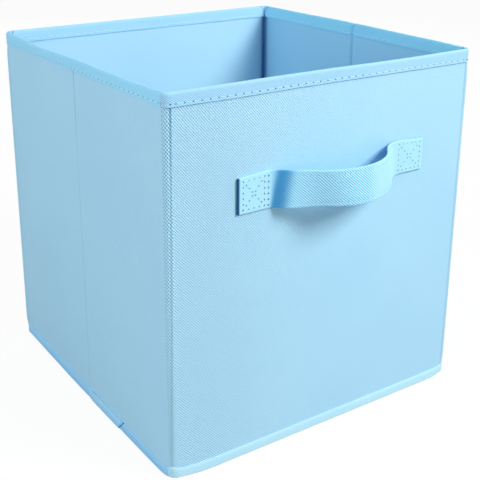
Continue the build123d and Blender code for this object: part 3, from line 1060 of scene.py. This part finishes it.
def strapMesh():
    low, high = strap["middle"] - strapReach - strap["endFold"], strap["middle"] + strapReach
    band = flatStrip("carrying_strap", low, high, strapBottom, strapTop, strap["columns"], strap["rows"], 0)
    bpy.ops.object.mode_set(mode="OBJECT")
    thicken(band, strap["thick"])
    roundEdges(band, strap["edge"], 3)
    points = getPoints(band)
    x, depth, z = points.T.copy()
    face = np.where(depth < strap["thick"] / 2, 1.0, 0.0)
    fromEdge = np.minimum(z - strapBottom, strapTop - z)
    free = ramp(np.minimum(x - low, high - x) - strap["endLength"], strap["freeOver"])
    puff = strap["puff"] * ramp(fromEdge, strap["puffOver"]) * free
    puff -= strap["dent"] * dip(fromEdge - strap["edgeSeam"], strap["seamWidth"]) * free
    points[:, 1] -= face * puff
    # painted shade at the left root, on the back face and at the left end
    root = x - strapPaintedShade["rootAt"] - strapPaintedShade["rootLean"] * strapRise(z)
    rootWidth = np.where(root < 0, strapPaintedShade["rootBefore"], strapPaintedShade["rootAfter"])
    shade = strapPaintedShade["root"] * np.exp(-np.abs(root / rootWidth) ** 3) * face
    shade += strapPaintedShade["back"] * ramp(x - strapPaintedShade["backFrom"], strapPaintedShade["backOver"]) * (1 - face)
    paintShade(band, np.where(x < low + strapPaintedShade["endWidth"], 1.0, shade))
    line = np.linspace(low, high, strap["lengthSteps"])
    height = standOff(line, np.full(strap["lengthSteps"], (strapBottom + strapTop) / 2))
    length = np.concatenate([[0], np.cumsum(np.hypot(np.diff(line), np.diff(height)))])
    layUv(band, np.interp(x, line, length), z)
    setPoints(band, onStrap(points))
    smoothBy(band, 50)
    return band, float(length[-1])


strapBand, strapLength = strapMesh()
dress(strapBand, strapLook)
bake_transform(strapBand)
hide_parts("strap_bow", "strap_left_root", "strap_right_root", "strap_left_end",
            "strap_right_end")
print("strap made, length", round(strapLength, 4))


# stitches: one thread and one needle hole, repeated along a row; the hole is a dark piece, painted shade in
# the hole
stitch = {"width": 0.0006, "height": 0.00045, "sides": 6, "straight": 0.72, "tip": 0.14, "tipWidth": 0.45,
          "hole": 0.0012, "holeDeep": 0.00022, "holeUp": 0.00012, "holeTall": 0.8, "holeMiddle": 0.3,
          "betweenHoles": 0.7, "sunk": 0.00004, "tighter": 0.024, "tightHole": 0.00092, "innerSunk": 0.00016,
          "innerHole": 0.0005, "cornerPitch": 0.9}


def threadPiece(name, length):
    bpy.ops.object.select_all(action="DESELECT")
    bpy.ops.mesh.primitive_cylinder_add(vertices=stitch["sides"], radius=stitch["width"] / 2,
                                        depth=length * stitch["straight"])
    piece = shapeNew(name)
    bpy.ops.mesh.select_mode(type="FACE")
    for end in (-1, 1):
        mesh = bmesh.from_edit_mesh(piece.data)
        for face in mesh.faces:
            face.select_set(face.normal.z * end > 0.9)  # the end face
        bmesh.update_edit_mesh(piece.data)
        extrudeBy(0, 0, end * length * stitch["tip"])
        bpy.ops.transform.resize(value=(stitch["tipWidth"], stitch["tipWidth"], 1))
    bpy.ops.mesh.select_all(action="SELECT")
    bpy.ops.transform.rotate(value=pi / 2, orient_axis="Y", center_override=(0, 0, 0))
    bpy.ops.transform.resize(value=(1, stitch["height"] / stitch["width"], 1))
    bpy.ops.object.mode_set(mode="OBJECT")
    return piece


def holePiece(name, width):
    bpy.ops.object.select_all(action="DESELECT")
    bpy.ops.mesh.primitive_uv_sphere_add(segments=8, ring_count=4, radius=width / 2)
    piece = shapeNew(name)
    bpy.ops.mesh.select_mode(type="VERT")
    bpy.ops.mesh.select_all(action="SELECT")
    bpy.ops.transform.rotate(value=pi / 2, orient_axis="X", center_override=(0, 0, 0))
    bpy.ops.transform.resize(value=(1, stitch["holeDeep"] / width, stitch["holeTall"]))
    mesh = bmesh.from_edit_mesh(piece.data)
    for vert in mesh.verts:
        vert.select_set(vert.co.xz.length < touching)
    bmesh.update_edit_mesh(piece.data)
    bpy.ops.transform.resize(value=(1, stitch["holeMiddle"], 1))
    bpy.ops.object.mode_set(mode="OBJECT")
    return piece


def sewRow(name, middle, step, count, turn=0.0, width=stitch["hole"], facing=1):
    # a row along X about its middle, turned in the wall's plane, then moved to its place
    made = []
    for kind in ("thread", "hole"):
        x, y, z = middle
        if kind == "thread":
            piece = threadPiece(f"{name}_{kind}", step - width * stitch["betweenHoles"])
            number = count
        else:
            piece = holePiece(f"{name}_{kind}", width)
            number = count + 1
            y = y - facing * stitch["holeUp"]
        if number > 1:
            applyModifier(piece, "ARRAY", count=number, use_relative_offset=False, use_constant_offset=True,
                          constant_offset_displace=(step, 0, 0))
        pickOnly(piece)
        bpy.ops.object.mode_set(mode="EDIT")
        bpy.ops.mesh.select_all(action="SELECT")
        bpy.ops.transform.translate(value=(-(number - 1) * step / 2, 0, 0))
        if turn:
            bpy.ops.transform.rotate(value=turn, orient_axis="Y", center_override=(0, 0, 0))
        bpy.ops.transform.translate(value=(x, y, z))
        bpy.ops.object.mode_set(mode="OBJECT")
        made.append(piece)
    return made


def finishStitches(name, rows, placing, attach):
    made = []
    for index, (kind, look) in enumerate((("thread", threadLook), ("holes", holeShadeLook))):
        piece = joinAll(f"{name}_{kind}", [row[index] for row in rows])
        setPoints(piece, placing(getPoints(piece)))
        smoothBy(piece, 60)
        dress(piece, look)
        attach(piece)
        made.append(piece)
    return made


def rimRows(name, start, stop, width=stitch["hole"]):
    first = int(np.ceil(start / stitchPitch - 0.5))
    last = int(np.floor(stop / stitchPitch - 0.5))
    count = last - first + 1
    middle = (first + last + 1) / 2 * stitchPitch
    outer = (middle, -tapeStand + stitch["sunk"], rimOuterStitch)
    inner = (middle, wallThick + tapeStand - stitch["innerSunk"], rimInnerStitch)
    return [sewRow(f"{name}_outer", outer, stitchPitch, count, 0.0, width),
            sewRow(f"{name}_inner", inner, stitchPitch, count, 0.0, stitch["innerHole"], -1)]


for side, (start, stop, halves) in spans.items():
    if side == "front":
        rows = rimRows("front_rim", start, stitch["tighter"])
        rows += rimRows("front_rim_right", stitch["tighter"], stop, stitch["tightHole"])
    else:
        rows = rimRows(f"{side}_rim", start, stop)
    finishStitches(f"{side}_rim_stitch", rows, onBin, lambda piece: carry(piece, side))
for key, (start, stop, first, second, place, way) in corners.items():
    middle = ((start + stop) / 2, -tapeStand + stitch["sunk"], rimOuterStitch)
    rows = [sewRow(f"{key}_rim", middle, stitchPitch * stitch["cornerPitch"], 1)]
    finishStitches(f"{key}_rim_stitch", rows, onBin, lambda piece: carryCorner(piece, key, tapeReach))
print("rim stitches made")

# each sewn end: a box with a cross, as middle and length along the strap, and one more row at the left root
boxes = {"left": {"middle": -0.06775, "long": 0.0174, "root": -0.0558, "holes": 1.35},
         "right": {"middle": 0.0738, "long": 0.0213, "root": None, "holes": 1.12}}
boxHoles = {"low": 0.0009, "high": 0.0007, "near": 0.0009, "far": 0.001, "fall": 0.0009, "rise": 0.0009,
            "root": 0.0012}
boxRootUp = -0.0005
boxTall = strapTop - strapBottom - 2 * strap["margin"]
boxZ = (strapBottom + strapTop) / 2
for label, box in boxes.items():
    middle, boxLong = box["middle"], box["long"]
    across, slope = hypot(boxLong, boxTall), atan2(boxTall, boxLong)
    lines = [("low", middle, -boxTall / 2, boxLong, 0), ("high", middle, boxTall / 2, boxLong, 0),
             ("near", middle - boxLong / 2, 0, boxTall, pi / 2),
             ("far", middle + boxLong / 2, 0, boxTall, pi / 2),
             ("fall", middle, 0, across, slope), ("rise", middle, 0, across, -slope)]
    if box["root"]:
        lines.append(("root", box["root"], boxRootUp, boxTall, pi / 2))
    rows = []
    for name, x, up, reach, turn in lines:
        count = round(reach / strap["pitch"])
        width = boxHoles[name] * box["holes"]
        rows.append(sewRow(name, (x, stitch["sunk"], boxZ + up), reach / count, count, turn, width))
    made = finishStitches(f"strap_{label}_box", rows, onStrap, lambda piece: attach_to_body(piece, "front"))
    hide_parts(f"strap_{label}_stitching")
edgeRow = {"count": 21, "right": 0.002, "sunk": 0.00012, "hole": 0.0007}
rows = []
for name, z in (("lower", strapBottom + strap["edgeSeam"]), ("upper", strapTop - strap["edgeSeam"])):
    middle = (strap["middle"] + edgeRow["right"], edgeRow["sunk"], z)
    rows.append(sewRow(name, middle, strap["pitch"], edgeRow["count"], 0.0, edgeRow["hole"]))
finishStitches("strap_edge", rows, onStrap, lambda piece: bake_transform(piece))
print("strap stitches made")


def awayTo(azimuth, elevation):
    azimuth, elevation = radians(azimuth), radians(elevation)
    return Vector((sin(azimuth) * cos(elevation), -cos(azimuth) * cos(elevation), sin(elevation)))


def lookBack(thing, away):
    thing.rotation_mode = "QUATERNION"
    thing.rotation_quaternion = (-away).to_track_quat("-Z", "Y")


# camera at the photograph's angle
camera = {"azimuth": -33.66, "elevation": 18.8, "distance": 0.75804, "target": (-0.002657, 0.0, 0.164523),
          "lens": 68.38, "sensor": 36, "shiftX": 0.0327, "shiftY": -0.1306, "nearest": 0.01}
away = awayTo(camera["azimuth"], camera["elevation"])
bpy.ops.object.camera_add(location=Vector(camera["target"]) + away * camera["distance"])
eye = bpy.context.object
lookBack(eye, away)
eye.data.sensor_width = camera["sensor"]
eye.data.lens = camera["lens"]
eye.data.shift_x = camera["shiftX"]
eye.data.shift_y = camera["shiftY"]
eye.data.clip_start = camera["nearest"]
bpy.context.scene.camera = eye

# soft key from the front right, weak fills from the front left and the left, one behind for the other views
white, cool = (1, 1, 1), (0.93, 0.98, 1)
lights = {
    "key": {"azimuth": 30, "elevation": 37, "distance": 1.8, "size": 0.65, "power": 27.6, "tint": white},
    "frontFill": {"azimuth": -55, "elevation": 4, "distance": 1.6, "size": 0.5, "power": 4.5, "tint": cool},
    "highFill": {"azimuth": -85, "elevation": 38, "distance": 1.6, "size": 0.8, "power": 8.0, "tint": cool},
    "lowFill": {"azimuth": -120, "elevation": 5, "distance": 1.6, "size": 0.6, "power": 2.3, "tint": cool},
    "backFill": {"azimuth": 150, "elevation": 18, "distance": 1.8, "size": 1.0, "power": 7.0, "tint": white}}
room = {"aim": (0, 0, 0.15), "world": 0.28, "white": (1, 1, 1, 1), "floor": (0.3, 0.3, 0.3, 1),
        "floorSeen": (0.96, 0.96, 0.96, 1), "floorWhite": 0.94, "floorRough": 0.9, "floorSize": 8,
        "floorDown": 0.0004}
for name, lamp in lights.items():
    away = awayTo(lamp["azimuth"], lamp["elevation"])
    bpy.ops.object.light_add(type="AREA", location=Vector(room["aim"]) + away * lamp["distance"])
    made = bpy.context.object
    made.name = name
    lookBack(made, away)
    made.data.size = lamp["size"]
    made.data.energy = lamp["power"]
    made.data.color = lamp["tint"]

# even light all round, and plain white where the camera looks past the floor
world = bpy.context.scene.world or bpy.data.worlds.new("World")
bpy.context.scene.world = world
world.use_nodes = True
sky = Wire(world.node_tree)
for node in list(world.node_tree.nodes):
    world.node_tree.nodes.remove(node)
direct, glossy, through = (sky.node("ShaderNodeLightPath", {}, {}, ray)
                           for ray in ("Is Camera Ray", "Is Glossy Ray", "Is Transmission Ray"))
seen = sky.maths("MAXIMUM", direct, sky.maths("MAXIMUM", glossy, through))
lit = sky.node("ShaderNodeBackground", {}, {"Color": room["white"], "Strength": room["world"]})
plain = sky.node("ShaderNodeBackground", {}, {"Color": room["white"], "Strength": 1.0})
ground = sky.node("ShaderNodeMixShader", {}, {0: seen, 1: lit, 2: plain})
outlet = world.node_tree.nodes.new("ShaderNodeOutputWorld")
ground.feed(outlet, "Surface")

bpy.ops.object.select_all(action="DESELECT")
bpy.ops.mesh.primitive_plane_add(size=room["floorSize"], location=(0, 0, -room["floorDown"]))
floor = bpy.context.object
floor.name = "studio_floor"
floorLook, paint, wire = startLook("whiteFloor")
direct = wire.node("ShaderNodeLightPath", {}, {}, "Is Camera Ray")
wire.mix(direct, room["floor"], room["floorSeen"]).feed(paint, "Base Color")
paint.inputs["Roughness"].default_value = room["floorRough"]
glow = wire.node("ShaderNodeEmission", {}, {"Color": room["white"], "Strength": 1.0})
painted = Wire(floorLook.node_tree, paint.outputs[0])
surface = wire.node("ShaderNodeMixShader", {}, {0: direct * room["floorWhite"], 1: painted, 2: glow})
surface.feed(floorLook.node_tree.nodes["Material Output"], "Surface")
floor.data.materials.append(floorLook)

bpy.context.scene.view_settings.view_transform = "Standard"
print("camera and light set")
